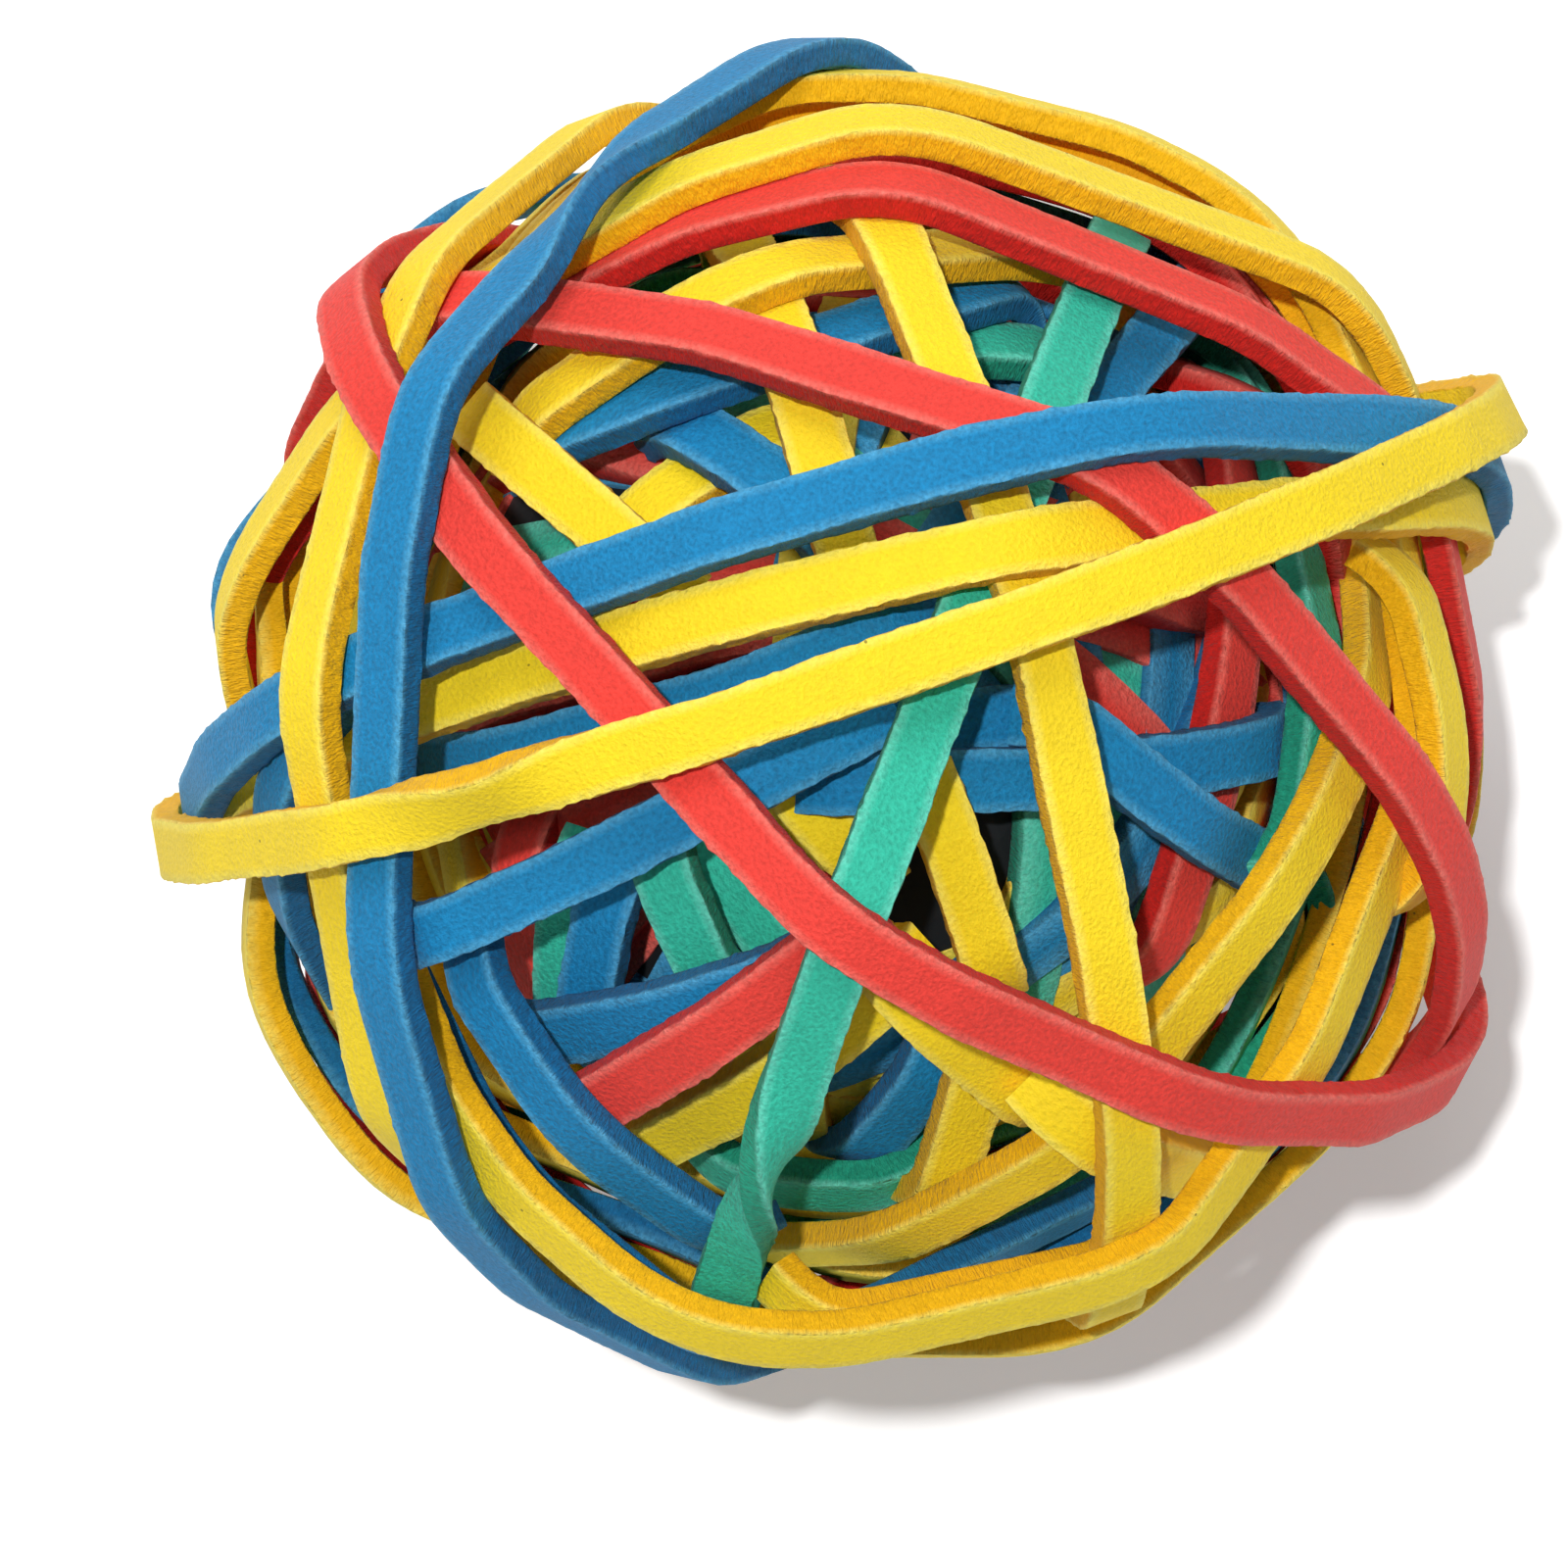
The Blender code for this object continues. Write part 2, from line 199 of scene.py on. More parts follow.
# Red and green look chalky, yellow is the brightest and has specks of filler in it, blue shows
# its pebbled grain most, and the middle is near-black painted shade for the deep gaps between the
# bands
FINISHES = (
    RubberFinish(Tint.RED, "#EA4036", "#D21D15", "#F78A7C"),
    RubberFinish(Tint.YELLOW, "#FBDB1C", "#F5B900", "#FFF27A", specks=1.0, pigment=0.40),
    RubberFinish(Tint.BLUE, "#0E80B6", "#07669A", "#62B2D8", pigment=1.2),
    RubberFinish(Tint.GREEN, "#31BC9F", "#199779", "#7EE2CC", pigment=1.0),
    # Near-black painted shade: the ball's middle, seen through the gaps between bands
    RubberFinish(Tint.PAINTED_SHADE, "#14181C", "#14181C", "#14181C", grain_depth=0.1),
)

ROLLS = (
    Roll("band_green_10", (-2.4, -22.6), 15.0 * MM, -180.0),
    Roll("band_yellow_22", (-17.5, -4.6), 14.0 * MM, 48.0, back=True),
    Roll("band_blue_18", (-13.1, 26.0), 14.0 * MM, 34.0, back=True),
)


def unit(vectors: np.ndarray) -> np.ndarray:
    """The vectors at length one.

    Args:
        vectors: One vector per row.

    Returns:
        The same directions, each of length one.
    """
    lengths = np.linalg.norm(vectors, axis=-1, keepdims=True)
    return vectors / np.maximum(lengths, LEAST_LENGTH)


def linear(hex_colour: str) -> tuple[float, float, float, float]:
    """Turns an sRGB hex colour into the linear values that shaders take.

    Args:
        hex_colour: A colour such as "#E8433F".

    Returns:
        Red, green, blue and alpha, linear.
    """
    values = [int(hex_colour[i:i + 2], 16) / 255 for i in (1, 3, 5)]
    flat = [v / 12.92 if v <= 0.04045 else ((v + 0.055) / 1.055) ** 2.4 for v in values]
    return (flat[0], flat[1], flat[2], 1.0)


@dataclass
class BandPath:
    """A band's middle line.

    Attributes:
        points: Points along it, in metres, evenly spaced.
        closed: Whether its end meets its start.
        step: The distance from one point to the next.
    """

    points: np.ndarray
    closed: bool
    step: float

    def tangents(self) -> np.ndarray:
        """The way on at each point.

        Returns:
            One direction of length one per point.
        """
        if self.closed:
            return unit(np.roll(self.points, -1, axis=0) - np.roll(self.points, 1, axis=0))
        return unit(np.gradient(self.points, axis=0))


def resampled(points: np.ndarray, closed: bool, step: float) -> BandPath:
    """Spaces a line's points evenly.

    Args:
        points: The line's points.
        closed: Whether it is a loop.
        step: The wanted distance between points.

    Returns:
        The same line with even steps.
    """
    line = np.vstack([points, points[:1]]) if closed else points
    lengths = np.linalg.norm(np.diff(line, axis=0), axis=1)
    reach = np.concatenate([[0.0], np.cumsum(lengths)])
    count = max(FEWEST_POINTS, round(reach[-1] / step))
    places = np.linspace(0.0, reach[-1], count, endpoint=not closed)
    even = np.stack([np.interp(places, reach, line[:, axis]) for axis in range(3)], axis=1)
    return BandPath(even, closed, reach[-1] / count)


def smoothed(path: BandPath, width: float) -> BandPath:
    """Rounds the corners of a path, as taut rubber does.

    Args:
        path: The path.
        width: How far along the path the rounding reaches.

    Returns:
        The rounded path.
    """
    reach = max(1, round(SMOOTH_REACH * width / path.step))
    weights = np.exp(-0.5 * (np.arange(-reach, reach + 1) * path.step / width) ** 2)
    weights /= weights.sum()
    if path.closed:
        padded = np.concatenate([path.points[-reach:], path.points, path.points[:reach]])
    else:
        ahead = path.points[:1] + (path.points[:1] - path.points[reach:0:-1])
        after = path.points[-1:] + (path.points[-1:] - path.points[-2:-reach - 2:-1])
        padded = np.concatenate([ahead, path.points, after])
    soft = np.stack([np.convolve(padded[:, axis], weights, "valid") for axis in range(3)], axis=1)
    return BandPath(soft, path.closed, path.step)


def dipped(path: BandPath, centre: np.ndarray) -> BandPath:
    """Lets the two ends of a partly seen band dive under their neighbours.

    Args:
        path: The band's path.
        centre: The ball's centre.

    Returns:
        The path with its ends lowered, or the same path where it is a loop.
    """
    if path.closed:
        return path
    places = np.arange(len(path.points)) * path.step
    left = np.minimum(places, places[::-1])
    share = np.clip(1.0 - left / DIP_LENGTH, 0.0, 1.0)
    out = unit(path.points - centre)
    return BandPath(path.points - out * (share ** 2 * DIP_DEPTH)[:, None], False, path.step)


@dataclass
class PathReader:
    """Finds each band's middle line from its solid in the frame.

    Attributes:
        nodes: The frame's nodes by name.
        centre: The ball's centre.
    """

    nodes: dict[str, bpy.types.Object]
    centre: np.ndarray

    def read(self, name: str) -> BandPath:
        """Slices a band's solid round the ball's centre and joins the slices' middles.

        Args:
            name: The band's node.

        Returns:
            The band's middle line.
        """
        mesh = self.nodes[name].data
        mesh.calc_loop_triangles()
        points = np.array([vertex.co for vertex in mesh.vertices]) - self.centre
        faces = np.array([triangle.vertices for triangle in mesh.loop_triangles])
        middle = points.mean(axis=0)
        closed = np.linalg.norm(middle) < LOOP_SHARE * np.linalg.norm(points, axis=1).mean()
        directions = np.linalg.eigh(np.cov((points - middle).T))[1]
        if closed:
            first, normal = directions[:, 2], directions[:, 0]
        else:
            first = middle / np.linalg.norm(middle)
            normal = unit(np.cross(directions[:, 2], first))
            first = unit(np.cross(normal, np.cross(first, normal)))
        second = np.cross(normal, first)
        turns = np.arctan2(points @ second, points @ first)
        angles = np.linspace(-math.pi, math.pi, LOOP_SLICES, endpoint=False)
        if not closed:
            trim = STRIP_TRIM * (turns.max() - turns.min())
            angles = np.linspace(turns.min() + trim, turns.max() - trim, STRIP_SLICES)
        corners = points[faces]
        line = [self.section(corners, first, second, angle) for angle in angles]
        line = np.array([spot for spot in line if spot is not None])
        if closed:
            line = np.roll(line, -int(line[:, 2].argmin()), axis=0)
        return resampled(line + self.centre, bool(closed), STEP_ALONG)

    @staticmethod
    def section(
        corners: np.ndarray, first: np.ndarray, second: np.ndarray, angle: float
    ) -> np.ndarray | None:
        """The middle of the cut that a half-plane makes through a solid.

        Args:
            corners: Corner points of each triangle, from the ball's centre.
            first: Direction of angle zero.
            second: Direction of a quarter turn.
            angle: The half-plane's angle.

        Returns:
            The middle of the cut, or None where it misses.
        """
        out = math.cos(angle) * first + math.sin(angle) * second
        across = -math.sin(angle) * first + math.cos(angle) * second
        sides = corners @ across
        ends, starts = [], []
        ahead = (corners @ out).mean(axis=1) > 0
        crossing = (sides.min(axis=1) < 0) & (sides.max(axis=1) >= 0) & ahead
        for triangle, side in zip(corners[crossing], sides[crossing]):
            cuts = []
            for here, there in ((0, 1), (1, 2), (2, 0)):
                if (side[here] < 0) != (side[there] < 0):
                    share = side[here] / (side[here] - side[there])
                    cuts.append(triangle[here] + share * (triangle[there] - triangle[here]))
            starts.append(cuts[0])
            ends.append(cuts[1])
        if not starts:
            return None
        starts, ends = np.array(starts), np.array(ends)
        lengths = np.linalg.norm(ends - starts, axis=1)
        return ((starts + ends) / 2 * lengths[:, None]).sum(axis=0) / lengths.sum()


@dataclass(frozen=True)
class Profile:
    """A band's cross-section: across and out positions, and what each corner belongs to.

    Attributes:
        across: Places across the band, in metres.
        out: Places outward from the band's middle line.
        edge: One on the cut edges, zero on the faces.
        line: One on the arrises.
    """

    across: np.ndarray
    out: np.ndarray
    edge: np.ndarray
    line: np.ndarray


def band_profile(width: float, thickness: float, lift: float, fine: bool = True) -> Profile:
    """The outline of a flat band with softened arrises.

    Args:
        width: Width of its face.
        thickness: Height of its cut edge.
        lift: Where its outer face lies above the middle line.
        fine: Whether faces and edges get corners between their arrises.

    Returns:
        The outline, run round once.
    """
    half, top, bottom = width / 2, lift, lift - thickness
    shares = FACE_CORNERS if fine else (0.0,)
    rise = EDGE_CORNERS if fine else (0.5,)
    rows = [(-half, top - ARRIS, 1, 1), (-half + ARRIS, top, 0, 1)]
    rows += [(share * half, top, 0, 0) for share in shares]
    rows += [(half - ARRIS, top, 0, 1), (half, top - ARRIS, 1, 1)]
    rows += [(half, bottom + share * thickness, 1, 0) for share in rise]
    rows += [(half, bottom + ARRIS, 1, 0), (half - ARRIS, bottom, 0, 0)]
    rows += [(-half + ARRIS, bottom, 0, 0), (-half, bottom + ARRIS, 1, 0)]
    rows += [(-half, bottom + share * thickness, 1, 0) for share in reversed(rise)]
    table = np.array(rows, float)
    return Profile(table[:, 0], table[:, 1], table[:, 2], table[:, 3])


def roll_angles(path: BandPath, rolls: Sequence[Roll], sight: "Sight") -> np.ndarray:
    """How far the band is rolled over at each point.

    Args:
        path: The band's path.
        rolls: The rolls on this band.
        sight: The eye, which finds a roll's spot on the path.

    Returns:
        One angle per point, in radians.
    """
    turned = np.zeros(len(path.points))
    for roll in rolls:
        index = sight.nearest(path.points, roll.spot)
        along = (np.arange(len(path.points)) - index) * path.step
        if path.closed:
            whole = path.step * len(path.points)
            along = (along + whole / 2) % whole - whole / 2
        share = np.clip(along / roll.length + 0.5, 0.0, 1.0)
        if roll.back:
            turned += math.radians(roll.turn) * np.sin(share * math.pi) ** 2
        else:
            turned += math.radians(roll.turn) * share * share * (3 - 2 * share)
    return turned


@dataclass
class Sight:
    """The eye above the ball, and the ball's centre.

    Attributes:
        centre: The ball's centre.
    """

    centre: np.ndarray

    @property
    def eye(self) -> np.ndarray:
        """Where the eye is."""
        return self.centre + (0.0, 0.0, SIGHT_DISTANCE)

    def seen(self, points: np.ndarray) -> np.ndarray:
        """Where points lie in the picture.

        Args:
            points: Points in the row frame.

        Returns:
            Millimetres right of and above the ball's middle, at its centre's depth.
        """
        ahead = points - self.eye
        return ahead[:, :2] / -ahead[:, 2:] * SIGHT_DISTANCE / MM

    def nearest(self, points: np.ndarray, spot: tuple[float, float]) -> int:
        """The point on the near side that is seen closest to a spot.

        Args:
            points: Points in the row frame.
            spot: The spot, in mm.

        Returns:
            The point's index.
        """
        away = np.linalg.norm(self.seen(points) - spot, axis=1)
        away += np.where(points[:, 2] > self.centre[2], 0.0, FAR_SIDE)
        return int(away.argmin())


class BandSweep:
    """Sweeps a band's cross-section along its path."""

    def __init__(self, profile: Profile, centre: np.ndarray, seed: int) -> None:
        """Keeps what all bands share.

        Args:
            profile: The cross-section.
            centre: The ball's centre, which outer faces look away from.
            seed: Starts the small unevenness of the cut edges.
        """
        self.profile = profile
        self.centre = centre
        self.noise = np.random.default_rng(seed)

    def rings(self, path: BandPath, turned: np.ndarray) -> np.ndarray:
        """Every cross-section's points.

        Args:
            path: The band's path.
            turned: How far it is rolled at each point.

        Returns:
            An array of path point, profile point and coordinate. A loop's first one is there
            again at its end, so that the grain along it has no break.
        """
        ahead = path.tangents()
        side = unit(np.cross(unit(path.points - self.centre), ahead))
        out = np.cross(ahead, side)
        cos, sin = np.cos(turned)[:, None], np.sin(turned)[:, None]
        rolled_side = cos * side + sin * out
        rolled_out = cos * out - sin * side
        lift = np.abs(sin) * (BAND_WIDTH - BAND_THICKNESS) / 2
        across, outward = self.uneven(len(path.points), path)
        rings = (
            (path.points + lift * out)[:, None, :]
            + across[:, :, None] * rolled_side[:, None, :]
            + outward[:, :, None] * rolled_out[:, None, :]
        )
        return np.concatenate([rings, rings[:1]]) if path.closed else rings

    def uneven(self, count: int, path: BandPath) -> tuple[np.ndarray, np.ndarray]:
        """The cross-section at each point, with the roughness of cut rubber.

        Args:
            count: How many points the path has.
            path: The band's path.

        Returns:
            Places across and outward, each by path point and profile point.
        """
        profile = self.profile
        rough = self.noise.normal(0.0, 1.0, (count, len(profile.across)))
        across = profile.across + rough * profile.edge * CUT_ROUGHNESS * np.sign(profile.across)
        slow = self.noise.normal(0.0, 1.0, (2, count))
        width = max(1, round(WANDER_LENGTH / path.step))
        kernel = np.hanning(2 * width + 3)
        kernel /= math.sqrt((kernel ** 2).sum())
        slow = [np.convolve(np.tile(row, 3), kernel, "same")[count:2 * count] for row in slow]
        across = across + slow[0][:, None] * WIDTH_WANDER * np.sign(profile.across)
        outward = profile.out + rough * profile.line * ARRIS_ROUGHNESS
        outward = outward + slow[1][:, None] * HEIGHT_WANDER
        return across, outward

    def mesh(self, name: str, path: BandPath, turned: np.ndarray) -> bpy.types.Mesh:
        """Builds the swept band.

        Args:
            name: The mesh's name.
            path: The band's path.
            turned: How far it is rolled at each point.

        Returns:
            A closed mesh, with the edge and line shares and the place along the band.
        """
        rings = self.rings(path, turned)
        count, around = rings.shape[:2]
        here = np.arange(count - 1)[:, None] * around
        there = here + around
        corner = np.arange(around)[None, :]
        after = (np.arange(around)[None, :] + 1) % around
        quads = np.stack([here + corner, there + corner, there + after, here + after], axis=-1)
        faces = [tuple(quad) for quad in quads.reshape(-1, 4).tolist()]
        if not path.closed:
            faces.append(tuple(range(around)))
            faces.append(tuple(range(count * around - 1, (count - 1) * around - 1, -1)))
        mesh = bpy.data.meshes.new(name)
        mesh.from_pydata(rings.reshape(-1, 3).tolist(), [], faces)
        self.mark(mesh, count, path)
        mesh.shade_smooth()
        mesh.set_sharp_from_angle(angle=SHARP_ANGLE)
        mesh.update()
        return mesh

    def mark(self, mesh: bpy.types.Mesh, count: int, path: BandPath) -> None:
        """Writes what each point belongs to, for the materials.

        Args:
            mesh: The band's mesh.
            count: How many cross-sections it has.
            path: The band's path.
        """
        for name, values in (("edge", self.profile.edge), ("line", self.profile.line)):
            layer = mesh.attributes.new(name, "FLOAT", "POINT")
            layer.data.foreach_set("value", np.tile(values, count).astype(np.float32))
        place = np.zeros((count, len(self.profile.across), 3), np.float32)
        place[:, :, 0] = (np.arange(count) * path.step)[:, None]
        place[:, :, 1] = self.profile.across
        place[:, :, 2] = self.profile.out
        layer = mesh.attributes.new("place", "FLOAT_VECTOR", "POINT")
        layer.data.foreach_set("vector", place.reshape(-1))


class InnerWinding:
    """Bands under the modelled ones: each lies just below all that is already above it."""

    TINTS = (
        Tint.YELLOW,
        Tint.BLUE,
        Tint.RED,
        Tint.YELLOW,
        Tint.GREEN,
        Tint.BLUE,
        Tint.YELLOW,
        Tint.RED,
    )

    def __init__(self, centre: np.ndarray, least: float, above: Sequence[BandPath]) -> None:
        """Keeps the bands above.

        Args:
            centre: The ball's centre.
            least: The smallest radius that a band may reach.
            above: The paths of the bands above.
        """
        self.centre = centre
        self.least = least
        self.directions = np.zeros((0, 3))
        self.floors = np.zeros(0)
        for path in above:
            self.cover(path, modelled=True)

    def cover(self, path: BandPath, modelled: bool = False) -> None:
        """Adds a band to what lies above.

        Args:
            path: The band's path.
            modelled: Whether it is one of the frame's. Those that lie deep at the ball's rim
                may be wound over.
        """
        spots = path.points[::2] - self.centre
        radii = np.linalg.norm(spots, axis=1)
        if modelled:
            kept = (radii > LIMB_LEAST) | (np.abs(spots[:, 2]) > LIMB_HEIGHT * radii)
            spots, radii = spots[kept], radii[kept]
        self.directions = np.vstack([self.directions, spots / radii[:, None]])
        self.floors = np.concatenate([self.floors, radii - BAND_THICKNESS / 2 - INNER_GAP])

    def room(self, directions: np.ndarray) -> np.ndarray:
        """How far out a band's outer face may lie in each direction.

        Args:
            directions: Directions from the ball's centre.

        Returns:
            One radius per direction.
        """
        front = np.clip(directions[:, 2], 0.0, 1.0)
        limits = LIMB_REACH + (INNER_REACH - LIMB_REACH) * front
        for start in range(0, len(directions), ROWS_AT_ONCE):
            rows = slice(start, start + ROWS_AT_ONCE)
            near = directions[rows] @ self.directions.T
            apart = np.sqrt(np.maximum(2.0 - 2.0 * near, 0.0)) * self.floors[None, :]
            beyond = np.maximum(apart - BAND_WIDTH, 0.0)
            below = (self.floors[None, :] + beyond * SIDE_SLOPE).min(axis=1)
            limits[rows] = np.minimum(limits[rows], below)
        return limits

    def loop(self, normal: np.ndarray) -> BandPath:
        """One inner band round the ball.

        Args:
            normal: The way its loop faces.

        Returns:
            The band's path, which then counts as lying above the next.
        """
        seed = np.array([0.0, 0.0, 1.0] if abs(normal[2]) < STEEP else [1.0, 0.0, 0.0])
        first = unit(np.cross(normal, seed))
        second = np.cross(normal, first)
        angles = np.linspace(0.0, 2 * math.pi, INNER_SLICES, endpoint=False)
        directions = np.cos(angles)[:, None] * first + np.sin(angles)[:, None] * second
        room = self.room(directions)
        apart = np.abs((angles[:, None] - angles[None, :] + math.pi) % (2 * math.pi) - math.pi)
        eased = (room[None, :] + INNER_SLOPE * apart * LIMB_REACH).min(axis=1)
        radii = np.maximum(eased - BAND_THICKNESS / 2, self.least)
        self.least -= INNER_STACK
        path = resampled(self.centre + directions * radii[:, None], True, INNER_STEP)
        path = smoothed(path, INNER_SMOOTHING)
        self.cover(path)
        return path

    def loops(self, count: int) -> list[tuple[BandPath, Tint]]:
        """All the inner bands: some along the rim first, the others turned evenly round the ball.

        Args:
            count: How many there are beside those along the rim.

        Returns:
            Each band's path and its rubber.
        """
        noise = np.random.default_rng(WINDING_SEED)
        made = []
        for index in range(-RIM_BANDS, count):
            high = RIM_RISE if index < 0 else (index * GOLDEN_RISE) % 1.0
            turn = GOLDEN_TURN * index
            flat = math.sqrt(1 - high * high)
            normal = np.array([flat * math.cos(turn), flat * math.sin(turn), high])
            normal = unit(normal + noise.normal(0.0, INNER_SCATTER, 3))
            made.append((self.loop(normal), self.TINTS[index % len(self.TINTS)]))
        return made


Value = float | tuple | bpy.types.NodeSocket


class NodeGraph:
    """A material's or the world's nodes, added and linked in one place."""

    def __init__(self, owner: bpy.types.Material | bpy.types.World) -> None:
        """Clears the owner's nodes.

        Args:
            owner: The material or the world.
        """
        owner.use_nodes = True
        self.tree = owner.node_tree
        self.tree.nodes.clear()

    def add(
        self, kind: str, settings: dict[str, str] | None = None, **inputs: Value
    ) -> bpy.types.Node:
        """Adds a node.

        Args:
            kind: The node's type.
            settings: Its own properties.
            **inputs: A socket to link from, or a value, by input name with _ for a space.

        Returns:
            The node.
        """
        node = self.tree.nodes.new(kind)
        for key, value in (settings or {}).items():
            setattr(node, key, value)
        for key, value in inputs.items():
            socket = node.inputs[int(key[1:]) if key[1:].isdigit() else key.replace("_", " ")]
            if isinstance(value, bpy.types.NodeSocket):
                self.tree.links.new(value, socket)
            else:
                socket.default_value = value
        return node

    def maths(
        self, operation: str, first: Value, second: Value = 0.0, third: Value = 0.0
    ) -> bpy.types.NodeSocket:
        """Adds one sum.

        Args:
            operation: Its kind.
            first: A socket or a value.
            second: A socket or a value.
            third: A socket or a value.

        Returns:
            The result's socket.
        """
        node = self.add("ShaderNodeMath", {"operation": operation}, _0=first, _1=second, _2=third)
        return node.outputs[0]

    def mix(
        self, share: Value, first: Value, second: Value, blend: str = "MIX"
    ) -> bpy.types.NodeSocket:
        """Mixes two colours.

        Args:
            share: A socket or a value from zero to one.
            first: The colour at zero.
            second: The colour at one.
            blend: How they mix.

        Returns:
            The mixed colour's socket.
        """
        settings = {"data_type": "RGBA", "blend_type": blend}
        return self.add("ShaderNodeMix", settings, _0=share, _6=first, _7=second).outputs[2]

    def attribute(self, name: str) -> bpy.types.Node:
        """Reads a mesh's own values.

        Args:
            name: Their name.

        Returns:
            The node.
        """
        return self.add("ShaderNodeAttribute", {"attribute_name": name})


class RubberMaterial:
    """Matte, dusty, vulcanised rubber: soft grain on the faces, torn fibres on the cut edges."""

    # Moulded faces are pebbled, and their pigment is a little uneven
    GRAIN = 0.23 * MM
    GRAIN_DETAIL = 3.0
    NOISE_ROUGHNESS = 0.6
    MOTTLE = 3.0 * MM
    MOTTLE_SPAN = 0.16
    MOTTLE_LEAST = 0.92
    # Cut edges are torn in short fibres that run out of the band
    FIBRE = 0.11 * MM
    FIBRE_STRETCH = (1.0, 0.25, 0.25)
    FIBRE_HEIGHT = 1.6
    RELIEF = 0.20 * MM
    # Arrises are rubbed pale in patches
    WORN = 0.35 * MM
    WORN_SHARE = 0.95
    # Here and there a dark speck of filler
    SPECK = 2.6 * MM
    SPECK_REACH = 0.03
    SPECK_SHARE = 0.7
    SPECK_COLOUR = "#5A4A10"
    # The surface is dull, with a faint bloom where it is seen aslant
    DULL = 0.60
    DULL_SPAN = 0.16
    SPECULAR = 0.28
    SHEEN = 0.06
    SHEEN_ROUGHNESS = 0.5

    def __init__(self, finish: RubberFinish) -> None:
        """Builds the material.

        Args:
            finish: What the rubber gives the eye.
        """
        self.finish = finish
        self.material = bpy.data.materials.new(finish.tint.value)
        self.graph = NodeGraph(self.material)
        self.place = self.graph.attribute("place").outputs["Vector"]
        self.edge = self.graph.attribute("edge").outputs["Fac"]
        self.line = self.graph.attribute("line").outputs["Fac"]
        self.build()

    def noise(
        self, size: float, detail: float = 2.0, stretch: tuple = (1.0, 1.0, 1.0)
    ) -> bpy.types.NodeSocket:
        """A noise with a real size, laid along the band.

        Args:
            size: The size of its grains, in metres.
            detail: How many finer octaves it has.
            stretch: How much denser it is along, across and outward.

        Returns:
            The noise's value.
        """
        graph = self.graph
        settings = {"operation": "MULTIPLY"}
        scaled = graph.add("ShaderNodeVectorMath", settings, _0=self.place, _1=stretch)
        node = graph.add(
            "ShaderNodeTexNoise",
            Vector=scaled.outputs[0],
            Scale=1.0 / size,
            Detail=detail,
            Roughness=self.NOISE_ROUGHNESS,
        )
        return node.outputs[0]

    def pebbles(self) -> bpy.types.NodeSocket:
        """The grain that the mould leaves.

        Returns:
            Its height.
        """
        return self.noise(self.GRAIN, self.GRAIN_DETAIL)

    def colour(self) -> bpy.types.NodeSocket:
        """Faces, deeper cut edges, a paler worn arris, and uneven pigment.

        Returns:
            The colour's socket.
        """
        graph, finish = self.graph, self.finish
        body = graph.mix(self.edge, linear(finish.face), linear(finish.edge))
        rubbed = graph.maths("MULTIPLY", self.noise(self.WORN), self.WORN_SHARE)
        body = graph.mix(graph.maths("MULTIPLY", self.line, rubbed), body, linear(finish.line))
        uneven = self.noise(self.MOTTLE)
        mottle = graph.maths("MULTIPLY_ADD", uneven, self.MOTTLE_SPAN, self.MOTTLE_LEAST)
        spread = finish.pigment
        grain = graph.maths("MULTIPLY_ADD", self.pebbles(), spread, 1.0 - spread / 2)
        shade = graph.maths("MULTIPLY", mottle, grain)
        grey = graph.add("ShaderNodeCombineColor", _0=shade, _1=shade, _2=shade).outputs[0]
        body = graph.mix(1.0, body, grey, "MULTIPLY")
        if finish.specks:
            body = self.with_specks(body)
        return body

    def with_specks(self, body: bpy.types.NodeSocket) -> bpy.types.NodeSocket:
        """A few dark specks of filler in the pigment.

        Args:
            body: The colour so far.

        Returns:
            The colour with specks.
        """
        graph = self.graph
        cells = graph.add("ShaderNodeTexVoronoi", Vector=self.place, Scale=1.0 / self.SPECK)
        reach = self.SPECK_REACH * self.finish.specks
        small = graph.maths("LESS_THAN", cells.outputs["Distance"], reach)
        share = graph.maths("MULTIPLY", small, self.SPECK_SHARE)
        return graph.mix(share, body, linear(self.SPECK_COLOUR))

    def build(self) -> None:
        """Joins colour, grain and surface."""
        graph, finish = self.graph, self.finish
        face = graph.maths("SUBTRACT", 1.0, self.edge)
        pebble = graph.maths("MULTIPLY", self.pebbles(), face)
        torn = self.noise(self.FIBRE, stretch=self.FIBRE_STRETCH)
        fibres = graph.maths("MULTIPLY", torn, self.edge)
        height = graph.maths("ADD", pebble, graph.maths("MULTIPLY", fibres, self.FIBRE_HEIGHT))
        bump = graph.add(
            "ShaderNodeBump", Height=height, Strength=finish.grain_depth, Distance=self.RELIEF
        )
        rough = graph.maths("MULTIPLY_ADD", self.noise(self.MOTTLE), self.DULL_SPAN, self.DULL)
        shader = graph.add(
            "ShaderNodeBsdfPrincipled",
            Base_Color=self.colour(),
            Roughness=rough,
            Normal=bump.outputs[0],
            Specular_IOR_Level=self.SPECULAR,
            Sheen_Weight=self.SHEEN,
            Sheen_Roughness=self.SHEEN_ROUGHNESS,
        )
        graph.add("ShaderNodeOutputMaterial", Surface=shader.outputs[0])


